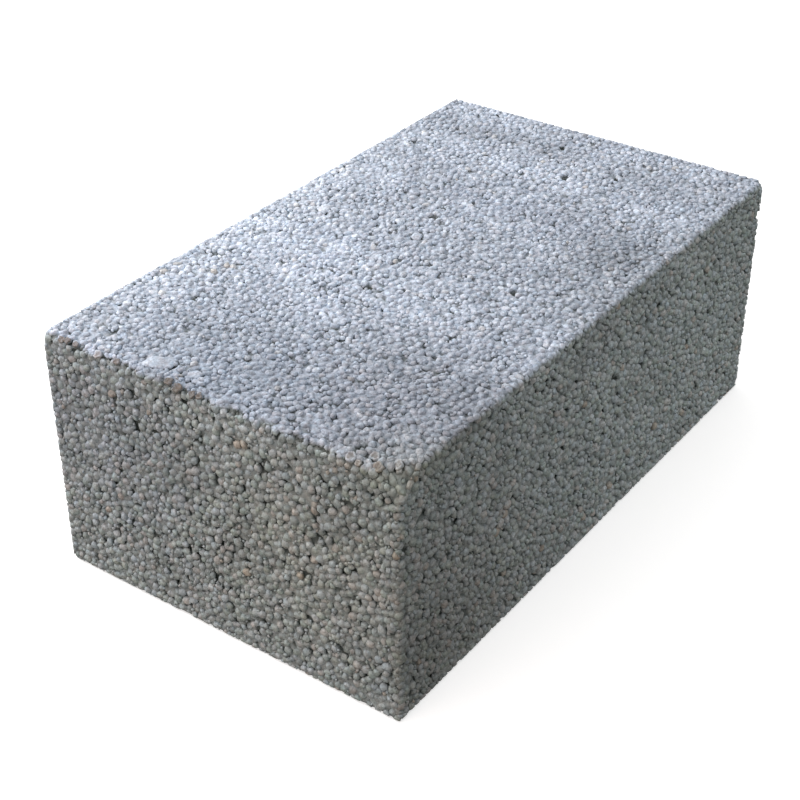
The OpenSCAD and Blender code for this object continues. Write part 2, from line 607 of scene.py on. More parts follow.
# %% Inputs of the pellet layer
VECTOR_INPUT = "NodeSocketVector"
FLOAT_INPUT = "NodeSocketFloat"
LAYER_INPUTS = {
    VECTOR_INPUT: (
        "Side", "Grain Direction", "Proportions", "Turn", "Worn Corner", "Box Low",
        "Box High", "Map Across", "Map Up"),
    FLOAT_INPUT: (
        "Spacing", "Small Spacing", "Crowding", "Kept Share", "Least Fill", "Most Fill",
        "Largest", "Small Largest", "Small Room", "Small Fill", "Highest", "Lowest",
        "Small Highest", "Small Lowest", "Clump Scale", "Clump Drop", "Arris Lift",
        "Arris Band", "Worn Reach", "Uneven Scale", "Unevenness", "Spot Reach",
        "Spot Depth"),
    "NodeSocketInt": ("Last Shape",),
    "NodeSocketCollection": ("Shapes", "Small Shapes"),
    "NodeSocketObject": ("Spots",),
    "NodeSocketMaterial": ("Material",),
}


def new_geometry_tree(name, inputs):
    """A Geometry Nodes tree with inputs of these kinds and names, and what gives them."""
    tree = bpy.data.node_groups.new(name, "GeometryNodeTree")
    tree.interface.new_socket("Geometry", in_out="INPUT", socket_type="NodeSocketGeometry")
    for kind, input_names in inputs.items():
        for input_name in input_names:
            tree.interface.new_socket(input_name, in_out="INPUT", socket_type=kind)
    tree.interface.new_socket("Geometry", in_out="OUTPUT", socket_type="NodeSocketGeometry")
    return tree, add_node(tree, "NodeGroupInput").outputs


def end_tree(tree, given, geometry):
    """Makes the geometry real and smooth, gives it its material and hands it over."""
    real = result_of(tree, "GeometryNodeRealizeInstances", {"Geometry": geometry})
    smooth = result_of(tree, "GeometryNodeSetShadeSmooth", {"Geometry": real})
    finished = result_of(tree, "GeometryNodeSetMaterial", {
        "Geometry": smooth, "Material": given["Material"]})
    add_node(tree, "NodeGroupOutput", {"Geometry": finished})


# %% Scatter points and keep what is known of them
SEEDS = {"first": 3, "second": 53, "fill": 13, "first pellets": 33, "second pellets": 73}
UP_COUNTS_MORE = (1.0, 1.0, 1.25)
ALMOST = 0.9999


def scatter(tree, given, spacing, kept_share, seed):
    """This share of points at least so far apart, and the normals of the faces under them."""
    area = result_of(tree, MATH, {0: spacing, 1: spacing}, operation="MULTIPLY")
    density = result_of(tree, MATH, {0: given["Crowding"], 1: area}, operation="DIVIDE")
    made = add_node(tree, "GeometryNodeDistributePointsOnFaces", {
        "Mesh": given["Geometry"], "Distance Min": spacing, "Density Max": density,
        "Density Factor": kept_share, "Seed": seed}, distribute_method="POISSON").outputs
    return made["Points"], made["Normal"]


def keep_values(tree, points, fields):
    """The points with these values kept on them, as the outputs of one node."""
    keep = add_node(tree, "GeometryNodeCaptureAttribute", {0: points})
    for name, field in fields.items():
        keep.capture_items.new("VECTOR" if field.type == "VECTOR" else "FLOAT", name)
        tree.links.new(field, keep.inputs[name])
    return keep.outputs


def width_from_neighbours(tree, given):
    """The distance of each point from the nearest other one, times its share of fill."""
    place = result_of(tree, "GeometryNodeInputPosition")
    nearest = result_of(tree, "GeometryNodeIndexOfNearest", {"Position": place})
    neighbour = result_of(tree, "GeometryNodeFieldAtIndex", {
        "Value": place, "Index": nearest}, data_type="FLOAT_VECTOR", domain="POINT")
    apart = result_of(tree, VECTOR_MATH, {0: place, 1: neighbour}, operation="DISTANCE")
    fill = result_of(tree, "FunctionNodeRandomValue", {
        "Min": given["Least Fill"], "Max": given["Most Fill"], "Seed": SEEDS["fill"]})
    width = result_of(tree, MATH, {0: apart, 1: fill}, operation="MULTIPLY")
    return result_of(tree, MATH, {0: width, 1: given["Largest"]}, operation="MINIMUM")


def width_from_room(tree, given, first):
    """The width that fits between the pellets of the first scatter, and whether it does."""
    nearest = result_of(tree, "GeometryNodeSampleNearest", {"Geometry": first["Geometry"]},
                        domain="POINT")
    their_width = result_of(tree, "GeometryNodeSampleIndex", {
        "Geometry": first["Geometry"], "Value": first["Width"], "Index": nearest})
    their_radius = result_of(tree, MATH, {0: their_width, 1: 0.5}, operation="MULTIPLY")
    apart = add_node(tree, "GeometryNodeProximity", {
        "Geometry": first["Geometry"]}, target_element="POINTS").outputs["Distance"]
    room = result_of(tree, MATH, {0: apart, 1: their_radius}, operation="SUBTRACT")
    width = result_of(tree, MATH, {0: room, 1: given["Small Fill"]}, operation="MULTIPLY")
    width = result_of(tree, MATH, {0: width, 1: given["Small Largest"]}, operation="MINIMUM")
    return width, result_of(tree, "FunctionNodeCompare", {
        "A": room, "B": given["Small Room"]}, operation="GREATER_THAN")


def on_this_side(tree, given, points, normal):
    """Only the points whose normal leans more to this side than to any other."""
    lean = result_of(tree, VECTOR_MATH, {0: normal, 1: UP_COUNTS_MORE}, operation="MULTIPLY")
    size = result_of(tree, VECTOR_MATH, {0: lean}, operation="ABSOLUTE")
    parts = add_node(tree, "ShaderNodeSeparateXYZ", {0: size}).outputs
    most = result_of(tree, MATH, {0: parts[0], 1: parts[1]}, operation="MAXIMUM")
    most = result_of(tree, MATH, {0: most, 1: parts[2]}, operation="MAXIMUM")
    most = result_of(tree, MATH, {0: most, 1: ALMOST}, operation="MULTIPLY")
    to_side = result_of(tree, VECTOR_MATH, {
        0: lean, 1: given["Side"]}, operation="DOT_PRODUCT")
    is_here = result_of(tree, "FunctionNodeCompare", {
        "A": to_side, "B": most}, operation="GREATER_EQUAL")
    return result_of(tree, "GeometryNodeSeparateGeometry", {
        "Geometry": points, "Selection": is_here})


# %% How far pellets stand out or sink
DRAWS = {"turn": 0, "shape": 1, "tint": 2, "lift": 3}
SINKING_POWER = 2.0
CLUMPS_BETWEEN = (0.45, 0.7)
SPOT_FLOOR_SHARE = 0.5
WHOLE_ARRIS_DEPTH = 1.1 * MM


def drop_at_spots(tree, given):
    """How far a pellet sinks because it is near a spot, as a negative lift."""
    spots = add_node(tree, "GeometryNodeObjectInfo", {
        "Object": given["Spots"]}).outputs["Geometry"]
    apart = add_node(tree, "GeometryNodeProximity", {
        "Geometry": spots}, target_element="POINTS").outputs["Distance"]
    floor_reach = result_of(tree, MATH, {
        0: given["Spot Reach"], 1: SPOT_FLOOR_SHARE}, operation="MULTIPLY")
    share = result_of(tree, MAP_RANGE, {
        "Value": apart, "From Min": given["Spot Reach"], "From Max": floor_reach,
        "To Max": -1.0}, interpolation_type="SMOOTHSTEP")
    return result_of(tree, MATH, {0: share, 1: given["Spot Depth"]}, operation="MULTIPLY")


def near_arris(tree, given):
    """From 1 at a whole arris of the block to 0 a band's width away from it."""
    place = result_of(tree, "GeometryNodeInputPosition")
    to_low = result_of(tree, VECTOR_MATH, {
        0: place, 1: given["Box Low"]}, operation="SUBTRACT")
    to_high = result_of(tree, VECTOR_MATH, {
        0: given["Box High"], 1: place}, operation="SUBTRACT")
    depth = result_of(tree, VECTOR_MATH, {0: to_low, 1: to_high}, operation="MINIMUM")
    parts = add_node(tree, "ShaderNodeSeparateXYZ", {0: depth}).outputs
    less = result_of(tree, MATH, {0: parts[0], 1: parts[1]}, operation="MINIMUM")
    more = result_of(tree, MATH, {0: parts[0], 1: parts[1]}, operation="MAXIMUM")
    more = result_of(tree, MATH, {0: more, 1: parts[2]}, operation="MINIMUM")
    second_depth = result_of(tree, MATH, {0: less, 1: more}, operation="MAXIMUM")
    near = result_of(tree, MAP_RANGE, {
        "Value": second_depth, "From Min": given["Arris Band"],
        "From Max": WHOLE_ARRIS_DEPTH})
    from_wear = result_of(tree, VECTOR_MATH, {
        0: place, 1: given["Worn Corner"]}, operation="DISTANCE")
    is_whole = result_of(tree, MATH, {
        0: from_wear, 1: given["Worn Reach"]}, operation="GREATER_THAN")
    return result_of(tree, MATH, {0: near, 1: is_whole}, operation="MULTIPLY")


def random_lift(tree, given, highest, lowest, seed):
    """Most crowns are near the highest place, and a few, in clumps and at spots, sink."""
    chance = result_of(tree, "FunctionNodeRandomValue", {
        "Min": 0.0, "Max": 1.0, "Seed": seed + DRAWS["lift"]})
    share = result_of(tree, MATH, {0: chance, 1: SINKING_POWER}, operation="POWER")
    lift = result_of(tree, MAP_RANGE, {"Value": share, "To Min": highest, "To Max": lowest})
    clumps = result_of(tree, NOISE, {"Scale": given["Clump Scale"]})
    clumps = result_of(tree, MAP_RANGE, {
        "Value": clumps, "From Min": CLUMPS_BETWEEN[0], "From Max": CLUMPS_BETWEEN[1],
        "To Max": given["Clump Drop"]})
    lift = result_of(tree, MATH, {0: lift, 1: clumps}, operation="ADD")
    at_arris = result_of(tree, MIX, {
        "Factor": near_arris(tree, given), "A": lift, "B": given["Arris Lift"]})
    return result_of(tree, MATH, {0: at_arris, 1: drop_at_spots(tree, given)}, operation="ADD")


# %% Hang pellets on the points
def hang_pellets(tree, given, points, normal, width, lift, shapes, seed):
    """Pellets of this width on the points, with their crowns lifted or sunk."""
    offset = result_of(tree, VECTOR_MATH, {0: normal, "Scale": lift}, operation="SCALE")
    points = result_of(tree, "GeometryNodeSetPosition", {"Geometry": points, "Offset": offset})
    upright = result_of(tree, "FunctionNodeAxesToRotation", {
        "Primary Axis": normal, "Secondary Axis": given["Grain Direction"]},
        primary_axis="Z", secondary_axis="Y")
    back = result_of(tree, VECTOR_MATH, {0: given["Turn"], "Scale": -1.0}, operation="SCALE")
    turn = result_of(tree, "FunctionNodeRandomValue", {
        "Min": back, "Max": given["Turn"], "Seed": seed + DRAWS["turn"]},
        data_type="FLOAT_VECTOR")
    turn = result_of(tree, "FunctionNodeEulerToRotation", {0: turn})
    turned = result_of(tree, "FunctionNodeRotateRotation", {
        "Rotation": upright, "Rotate By": turn}, rotation_space="LOCAL")
    half = result_of(tree, MATH, {0: width, 1: 0.5}, operation="MULTIPLY")
    scale = result_of(tree, VECTOR_MATH, {
        0: given["Proportions"], "Scale": half}, operation="SCALE")
    group = result_of(tree, "GeometryNodeCollectionInfo", {
        "Collection": shapes, "Separate Children": True, "Reset Children": True})
    which = result_of(tree, "FunctionNodeRandomValue", {
        "Min": 0, "Max": given["Last Shape"], "Seed": seed + DRAWS["shape"]},
        data_type="INT")
    hung = result_of(tree, "GeometryNodeInstanceOnPoints", {
        "Points": points, "Instance": group, "Pick Instance": True, "Instance Index": which,
        "Rotation": turned, "Scale": scale})
    tint = result_of(tree, "FunctionNodeRandomValue", {
        "Min": 0.0, "Max": 1.0, "Seed": seed + DRAWS["tint"]})
    hung = result_of(tree, "GeometryNodeStoreNamedAttribute", {
        "Geometry": hung, "Name": "tint", "Value": tint},
        data_type="FLOAT", domain="INSTANCE")
    place = result_of(tree, "GeometryNodeInputPosition")
    return result_of(tree, "GeometryNodeStoreNamedAttribute", {
        "Geometry": hung, "Name": "middle", "Value": place},
        data_type="FLOAT_VECTOR", domain="INSTANCE")


# %% [markdown]
# ## Pressed against the mould
# The wet mix was pressed and vibrated in a steel mould, so no pellet stands out of its planes,
# and the paste joins each one to its neighbours. A fine noise moves the points of the mesh, so
# that the lumps are uneven and run into each other, and a point that this leaves outside the
# CAD shape is put back on it. Then the depth of each point is stored, and a flat map for the
# bake: every face is seen straight on, with the undersides drawn in beneath their crowns.

# %% Press, measure and map the pellets
NOISE_MEAN = (0.5, 0.5, 0.5)
ARRIS_UNEVENNESS = 0.25


def pressed_by_mould(tree, given, geometry):
    """The mesh moved by a fine noise, and pressed flat wherever it left the envelope."""
    place = result_of(tree, "GeometryNodeInputPosition")
    noise = add_node(tree, NOISE, {
        "Scale": given["Uneven Scale"], "Detail": 1.0}).outputs["Color"]
    shift = result_of(tree, VECTOR_MATH, {0: noise, 1: NOISE_MEAN}, operation="SUBTRACT")
    calm = result_of(tree, MAP_RANGE, {
        "Value": near_arris(tree, given), "To Min": 1.0, "To Max": ARRIS_UNEVENNESS})
    amount = result_of(tree, MATH, {0: given["Unevenness"], 1: calm}, operation="MULTIPLY")
    shift = result_of(tree, VECTOR_MATH, {0: shift, "Scale": amount}, operation="SCALE")
    moved = result_of(tree, VECTOR_MATH, {0: place, 1: shift}, operation="ADD")
    mould = add_node(tree, "GeometryNodeProximity", {
        "Geometry": given["Geometry"], "Sample Position": moved},
        target_element="FACES").outputs["Position"]
    face_normal = result_of(tree, "GeometryNodeSampleNearestSurface", {
        "Mesh": given["Geometry"], "Value": result_of(tree, "GeometryNodeInputNormal"),
        "Sample Position": moved}, data_type="FLOAT_VECTOR")
    beyond = result_of(tree, VECTOR_MATH, {0: moved, 1: mould}, operation="SUBTRACT")
    beyond = result_of(tree, VECTOR_MATH, {0: beyond, 1: face_normal}, operation="DOT_PRODUCT")
    outside = result_of(tree, "FunctionNodeCompare", {
        "A": beyond, "B": 0.0}, operation="GREATER_THAN")
    held = result_of(tree, "GeometryNodeSwitch", {
        "Switch": outside, "False": moved, "True": mould}, input_type="VECTOR")
    return result_of(tree, "GeometryNodeSetPosition", {"Geometry": geometry, "Position": held})


def depth_below(tree, envelope, geometry):
    """The mesh with the distance of each point from the envelope stored on it."""
    depth = add_node(tree, "GeometryNodeProximity", {
        "Geometry": envelope}, target_element="FACES").outputs["Distance"]
    return result_of(tree, "GeometryNodeStoreNamedAttribute", {
        "Geometry": geometry, "Name": "depth", "Value": depth},
        data_type="FLOAT", domain="POINT")


def map_for_baking(tree, given, geometry):
    """A map seen straight on, with the undersides drawn in under the crowns."""
    place = result_of(tree, "GeometryNodeInputPosition")
    middle = result_of(tree, "GeometryNodeInputNamedAttribute", {"Name": "middle"},
                       data_type="FLOAT_VECTOR")
    pull = result_of(tree, "GeometryNodeInputNamedAttribute", {"Name": "pull"},
                     data_type="FLOAT")
    arm = result_of(tree, VECTOR_MATH, {0: place, 1: middle}, operation="SUBTRACT")
    arm = result_of(tree, VECTOR_MATH, {0: arm, "Scale": pull}, operation="SCALE")
    flat = result_of(tree, VECTOR_MATH, {0: middle, 1: arm}, operation="ADD")
    flat = result_of(tree, VECTOR_MATH, {0: flat, 1: given["Box Low"]}, operation="SUBTRACT")
    size = result_of(tree, VECTOR_MATH, {
        0: given["Box High"], 1: given["Box Low"]}, operation="SUBTRACT")
    flat = result_of(tree, VECTOR_MATH, {0: flat, 1: size}, operation="DIVIDE")
    across = result_of(tree, VECTOR_MATH, {
        0: flat, 1: given["Map Across"]}, operation="DOT_PRODUCT")
    up = result_of(tree, VECTOR_MATH, {0: flat, 1: given["Map Up"]}, operation="DOT_PRODUCT")
    spot = result_of(tree, "ShaderNodeCombineXYZ", {0: across, 1: up})
    mapped = result_of(tree, "GeometryNodeStoreNamedAttribute", {
        "Geometry": geometry, "Name": "OFBake", "Value": spot},
        data_type="FLOAT2", domain="CORNER")
    for name in ("middle", "pull"):
        mapped = result_of(tree, "GeometryNodeRemoveAttribute", {
            "Geometry": mapped, "Name": name})
    return mapped


# %% The whole pellet layer
def pellet_layer_tree():
    """Hangs pellets on one side of the mesh that it is given."""
    tree, given = new_geometry_tree("pellet layer", LAYER_INPUTS)
    points, normal = scatter(
        tree, given, given["Spacing"], given["Kept Share"], SEEDS["first"])
    first = keep_values(tree, points, {
        "Width": width_from_neighbours(tree, given), "Normal": normal})
    lift = random_lift(tree, given, given["Highest"], given["Lowest"],
                       SEEDS["first pellets"])
    here = on_this_side(tree, given, first["Geometry"], first["Normal"])
    large = hang_pellets(tree, given, here, first["Normal"], first["Width"], lift,
                         given["Shapes"], SEEDS["first pellets"])

    points, normal = scatter(tree, given, given["Small Spacing"], 1.0, SEEDS["second"])
    width, fits = width_from_room(tree, given, first)
    second = keep_values(tree, points, {"Width": width, "Normal": normal})
    between = result_of(tree, "GeometryNodeSeparateGeometry", {
        "Geometry": second["Geometry"], "Selection": fits})
    lift = random_lift(tree, given, given["Small Highest"], given["Small Lowest"],
                       SEEDS["second pellets"])
    here = on_this_side(tree, given, between, second["Normal"])
    small = hang_pellets(tree, given, here, second["Normal"], second["Width"], lift,
                         given["Small Shapes"], SEEDS["second pellets"])

    both = add_node(tree, "GeometryNodeJoinGeometry")
    tree.links.new(large, both.inputs[0])
    tree.links.new(small, both.inputs[0])
    real = result_of(tree, "GeometryNodeRealizeInstances", {"Geometry": both.outputs[0]})
    real = pressed_by_mould(tree, given, real)
    real = depth_below(tree, given["Geometry"], real)
    end_tree(tree, given, map_for_baking(tree, given, real))
    return tree


layer_tree = pellet_layer_tree()
print("pellet layer tree with", len(layer_tree.nodes), "nodes")

# %% [markdown]
# ## Pads, broken pellets, pits and chips
# On the top bed the press shoe has smeared small pads of paste over the pellets, two of them
# large and close to the end. Here and there a pellet has come out and left a pit. The arris
# between the top and the end face is ragged: it has lost a row of pellets, and there and round
# the worn corner a few have broken across. The common pellets have to make room in each of
# these places, so each is one or more points of a small cloud, which the tree reads as an
# object, and where it sinks its pellets.

# %% Pads and broken pellets, by place, size and tint
PADS_MM = (
    ((-227.5, 54.6), (13.0, 8.0), -60), ((-227.5, 25.8), (7.0, 4.8), -20),
    ((-237.3, -100.8), (4.4, 3.8), 0), ((-33.5, 27.1), (6.0, 4.5), 10),
    ((10.1, 21.8), (5.0, 4.0), 40), ((24.4, 46.1), (4.5, 3.5), 0),
    ((-16.9, -14.6), (4.5, 4.0), 70), ((7.5, 104.2), (7.0, 5.0), 20),
    ((-68.7, 26.7), (5.0, 3.5), 120),
)
PALE_BROKEN_MM = (
    ((-240.9, -107.1, 189.0), (3.6, 3.8, 6.0), 20, 0.95),
    ((-239.1, -125.4, 188.4), (3.3, 3.5, 6.0), 45, 0.998),
    ((-232.9, -118.7, 189.2), (3.4, 3.1, 6.0), 15, 0.95),
    ((-231.2, -134.4, 188.8), (3.3, 2.9, 5.0), 30, 0.90),
    ((-242.6, -113.7, 188.2), (1.9, 2.1, 4.0), 40, 0.997),
    ((-242.8, 94.5, 187.9), (2.8, 3.0, 4.0), 42, 0.99),
)
BROWN_BROKEN_MM = (
    ((-242.9, 126.9, 188.0), (2.4, 2.8, 4.0), 45, 0.1),
    ((-242.4, 122.4, 188.3), (2.2, 2.5, 4.0), 38, 0.1),
    ((-242.4, 114.4, 188.2), (2.2, 2.4, 4.0), 40, 0.1),
    ((-242.5, 78.0, 188.2), (2.4, 2.6, 4.0), 38, 0.5),
    ((-241.4, 34.8, 188.8), (2.6, 3.0, 4.0), 22, 0.1),
    ((-242.9, 26.3, 187.6), (3.2, 3.3, 4.0), 48, 0.9),
    ((-243.0, 13.9, 187.7), (2.6, 2.8, 4.0), 48, 0.1),
    ((-242.6, 8.3, 188.0), (2.4, 2.6, 4.0), 42, 0.3),
)

# %% Spots where the common pellets make room
PITS_ON_TOP_MM = ((-216, 116), (-151, 92), (-96, 123), (-19, -80), (-96, -79), (160, -16))
HOLES_BY_CORNER_MM = ((-233, -106), (-226, -106.5))
STRAY_PITS = 26
STRAY_SHARE_BY_AXIS = (0.2, 0.33, 0.47)
RAGGED_CHIPS = 34
CHIP_INSET_MM = 1.5
PAD_RIM_MM = 3.5
PAD_STEPS = (-0.65, -0.3, 0.0, 0.3, 0.65)
PAD_STEPS_ACROSS = (-0.5, 0.5)
SPOT_SEED = 7


def missing_pellet_spots():
    """The places in the block's faces and arrises where a common pellet is missing."""
    rng = np.random.default_rng(SPOT_SEED)
    low, high = np.array(LOW), np.array(HIGH)
    points = [(x * MM, y * MM, HIGH.z) for x, y in PITS_ON_TOP_MM + HOLES_BY_CORNER_MM]
    points += [Vector(place) * MM for place, _, _, _ in PALE_BROKEN_MM + BROWN_BROKEN_MM]
    for place, (long_reach, short_reach), degrees in PADS_MM:
        turn = Matrix.Rotation(math.radians(degrees), 2)
        for step in PAD_STEPS:
            for step_across in PAD_STEPS_ACROSS:
                shift = Vector((
                    max(long_reach - PAD_RIM_MM, 0) * step,
                    max(short_reach - PAD_RIM_MM, 0) * step_across))
                x, y = Vector(place) + turn @ shift
                points.append((x * MM, y * MM, HIGH.z))
    for _ in range(STRAY_PITS):
        point = rng.uniform(low, high)
        axis = rng.choice(3, p=STRAY_SHARE_BY_AXIS)
        point[axis] = (low, high)[rng.integers(2)][axis]
        points.append(tuple(point))
    inset = CHIP_INSET_MM * MM
    for y in rng.uniform(LOW.y, HIGH.y, RAGGED_CHIPS):
        points.append((LOW.x + inset, y, HIGH.z - inset))
    mesh = bpy.data.meshes.new("missing_pellets")
    mesh.from_pydata(points, [], [])
    return bpy.data.objects.new("missing_pellets", mesh)


missing_pellets = missing_pellet_spots()
print("missing pellets:", len(missing_pellets.data.vertices))

# %% [markdown]
# ## Six faces of pellets
# The shape under the pellets is a copy of the CAD solid, with its loose triangles merged, so
# the pellets follow its rounded arrises and its worn corner. The two bed faces were pressed,
# by the shoe above and on the pallet below, and their pellets are flatter and lie level. The
# four upright faces were stripped from the mould, and their pellets are rounder and drawn
# out a little upwards. A spacing is the least distance between two points of a scatter, and
# crowding is how many points are tried in a square of that size. A fill says how wide a
# pellet is for the room that it has, and highest and lowest say how far crowns are lifted
# above the face or sunk below it, before the mould presses them.

# %% Sizes of the pellets
ARRISES = {
    "Arris Band": 6 * MM, "Worn Corner": (LOW.x, LOW.y, HIGH.z), "Worn Reach": 50 * MM,
    "Box Low": tuple(LOW), "Box High": tuple(HIGH),
}
SIZES_MM = {
    "Largest": 6.7, "Small Largest": 4.3, "Small Room": 0.6,
    "Spot Reach": 4.0, "Spot Depth": 5.0, "Arris Lift": 0.9,
}
PRESSED_MM = {
    "Spacing": 4.15, "Small Spacing": 2.6, "Highest": 0.5, "Lowest": -0.9,
    "Small Highest": 0.1, "Small Lowest": -1.0, "Clump Drop": 0.0, "Unevenness": 1.8,
}
PRESSED = {
    "Grain Direction": (0.0, 1.0, 0.0), "Least Fill": 0.95, "Most Fill": 1.4,
    "Proportions": (1.0, 1.0, 0.8), "Turn": (0.12, 0.12, math.pi), "Shapes": pressed_pellets,
}
STRIPPED_MM = {
    "Spacing": 4.35, "Small Spacing": 2.5, "Highest": 0.3, "Lowest": -1.2,
    "Small Highest": 0.0, "Small Lowest": -1.4, "Clump Drop": -0.7, "Unevenness": 1.9,
}
STRIPPED = {
    "Grain Direction": (0.0, 0.0, 1.0), "Least Fill": 1.0, "Most Fill": 1.35,
    "Proportions": (0.95, 1.3, 0.9), "Turn": (0.22, 0.22, 0.5), "Shapes": round_pellets,
}
COMMON = {
    "Crowding": 3.4, "Kept Share": 0.84, "Small Fill": 2.3, "Last Shape": VARIANTS - 1,
    "Clump Scale": 1 / (24 * MM), "Uneven Scale": 1 / (2.2 * MM),
    "Small Shapes": small_pellets, "Spots": missing_pellets, "Material": concrete,
    **ARRISES,
}
X, Y, Z = (1.0, 0.0, 0.0), (0.0, 1.0, 0.0), (0.0, 0.0, 1.0)
SIDES = (
    ("pellets_top", (0.0, 0.0, 1.0), X, Y, PRESSED, PRESSED_MM),
    ("pellets_bottom", (0.0, 0.0, -1.0), X, Y, PRESSED, PRESSED_MM),
    ("pellets_low_x_end", (-1.0, 0.0, 0.0), Y, Z, STRIPPED, STRIPPED_MM),
    ("pellets_high_x_end", (1.0, 0.0, 0.0), Y, Z, STRIPPED, STRIPPED_MM),
    ("pellets_low_y_side", (0.0, -1.0, 0.0), X, Z, STRIPPED, STRIPPED_MM),
    ("pellets_high_y_side", (0.0, 1.0, 0.0), X, Z, STRIPPED, STRIPPED_MM),
)

# %% Make the faces
MERGE_DISTANCE = 0.001 * MM


def merged_copy(node):
    """A copy of a CAD node's mesh whose triangles share their vertices."""
    mesh = frame["nodes"][node].data.copy()
    work = bmesh.new()
    work.from_mesh(mesh)
    bmesh.ops.remove_doubles(work, verts=work.verts, dist=MERGE_DISTANCE)
    work.to_mesh(mesh)
    work.free()
    mesh.materials.clear()
    return mesh


def through_modifier(mesh, kind, settings, inputs=None):
    """The mesh that one modifier makes of this one; a node tree takes its inputs by name."""
    carrier = bpy.data.objects.new("carrier", mesh)
    scene.collection.objects.link(carrier)
    modifier = carrier.modifiers.new("step", kind)
    for name, value in settings.items():
        setattr(modifier, name, value)
    if inputs:
        for item in modifier.node_group.interface.items_tree:
            if item.in_out == "INPUT" and item.name in inputs:
                modifier[item.identifier] = inputs[item.name]
    graph = bpy.context.evaluated_depsgraph_get()
    made = bpy.data.meshes.new_from_object(
        carrier.evaluated_get(graph), preserve_all_data_layers=True, depsgraph=graph)
    bpy.data.objects.remove(carrier)
    return made


def piece_of(name, mesh):
    """A new object in the scene with this mesh, which stands at the origin."""
    mesh.name = name
    piece = bpy.data.objects.new(name, mesh)
    scene.collection.objects.link(piece)
    return piece


def in_metres(sizes_mm):
    """The same sizes in metres."""
    return {name: size * MM for name, size in sizes_mm.items()}


envelope = merged_copy("block")
pieces = []
for name, side, across, up, finish, finish_mm in SIDES:
    mesh = through_modifier(envelope.copy(), "NODES", {"node_group": layer_tree}, {
        "Side": side, "Map Across": across, "Map Up": up,
        **COMMON, **finish, **in_metres(SIZES_MM), **in_metres(finish_mm)})
    pieces.append(piece_of(name, mesh))
    print(name, len(mesh.polygons), "triangles")
print("all faces:", sum(len(piece.data.polygons) for piece in pieces), "triangles")

# %% [markdown]
# ## The cement behind the pellets
# Between the pellets the cement paste forms a rough skin, with pores in it that go deeper.
# The solid of the frame is remeshed into small even cells, which a second tree then sinks, by
# a little nearly everywhere and by more in the pores and pits. The bed faces were pressed, so
# the paste stands higher there, and their pores are shallower. The tree writes the same depth
# attribute that the pellets have, which the material turns into painted shade: the deeper the
# skin lies, the darker it is painted, and since the stored depth is never less than the least
# shade, nowhere is it as pale as a crown.

# %% Cement skin tree
SKIN_CELL_MM = 2.7
SKIN_MM = {
    "Side Depth": 2.2, "Bed Depth": 1.5, "Arris Depth": 0.4,
    "Side Pore Depth": 4.2, "Bed Pore Depth": 2.2,
    "Spot Reach": 4.5, "Spot Depth": 4.0, "Least Shade": 2.6,
}
SKIN_INPUTS = {
    VECTOR_INPUT: ("Worn Corner", "Box Low", "Box High"),
    FLOAT_INPUT: (
        "Side Depth", "Bed Depth", "Arris Depth", "Arris Band", "Worn Reach",
        "Side Pore Depth", "Bed Pore Depth", "Pore Scale", "Spot Reach", "Spot Depth",
        "Least Shade"),
    "NodeSocketObject": ("Spots",),
    "NodeSocketMaterial": ("Material",),
}
PORE_SIZE_MM = 5.5
PORES_BETWEEN = (0.52, 0.68)
SKIN_TINT = 0.2


def cement_skin_tree():
    """Sinks a mesh by its depth on that side, and by more in pores and pits."""
    tree, given = new_geometry_tree("cement skin", SKIN_INPUTS)
    normal = result_of(tree, "GeometryNodeInputNormal")
    upward = add_node(tree, "ShaderNodeSeparateXYZ", {0: normal}).outputs["Z"]
    upward = result_of(tree, MATH, {0: upward}, operation="ABSOLUTE")
    plain = result_of(tree, MAP_RANGE, {
        "Value": upward, "To Min": given["Side Depth"], "To Max": given["Bed Depth"]})
    arris = near_arris(tree, given)
    plain = result_of(tree, MIX, {"Factor": arris, "A": plain, "B": given["Arris Depth"]})
    noise = result_of(tree, NOISE, {"Scale": given["Pore Scale"], "Detail": 1.0})
    deepest = result_of(tree, MAP_RANGE, {
        "Value": upward, "To Min": given["Side Pore Depth"], "To Max": given["Bed Pore Depth"]})
    pores = result_of(tree, MAP_RANGE, {
        "Value": noise, "From Min": PORES_BETWEEN[0], "From Max": PORES_BETWEEN[1],
        "To Max": deepest})
    pores = result_of(tree, MIX, {"Factor": arris, "A": pores, "B": 0.0})
    drop = drop_at_spots(tree, given)
    sunk = result_of(tree, MATH, {0: pores, 1: drop}, operation="SUBTRACT")
    depth = result_of(tree, MATH, {0: plain, 1: sunk}, operation="ADD")
    kept = keep_values(tree, given["Geometry"], {"Depth": depth})
    lift = result_of(tree, MATH, {0: kept["Depth"], 1: -1.0}, operation="MULTIPLY")
    offset = result_of(tree, VECTOR_MATH, {0: normal, "Scale": lift}, operation="SCALE")
    skin = result_of(tree, "GeometryNodeSetPosition", {
        "Geometry": kept["Geometry"], "Offset": offset})
    # Painted shade: the stored depth is never less than the least shade, so the skin is painted
    # at least that dark.
    shade = result_of(tree, MATH, {
        0: kept["Depth"], 1: given["Least Shade"]}, operation="MAXIMUM")
    for name, value in (("depth", shade), ("tint", SKIN_TINT)):
        skin = result_of(tree, "GeometryNodeStoreNamedAttribute", {
            "Geometry": skin, "Name": name, "Value": value},
            data_type="FLOAT", domain="POINT")
    end_tree(tree, given, skin)
    return tree


# %% Make the cement skin
skin_tree = cement_skin_tree()
even_cells = through_modifier(envelope, "REMESH", {
    "mode": "VOXEL", "voxel_size": SKIN_CELL_MM * MM})
skin = through_modifier(even_cells, "NODES", {"node_group": skin_tree}, {
    "Pore Scale": 1 / (PORE_SIZE_MM * MM), "Spots": missing_pellets, "Material": concrete,
    **ARRISES, **in_metres(SKIN_MM)})
pieces.append(piece_of("cement_skin", skin))
print("cement skin", 2 * len(skin.polygons), "triangles")

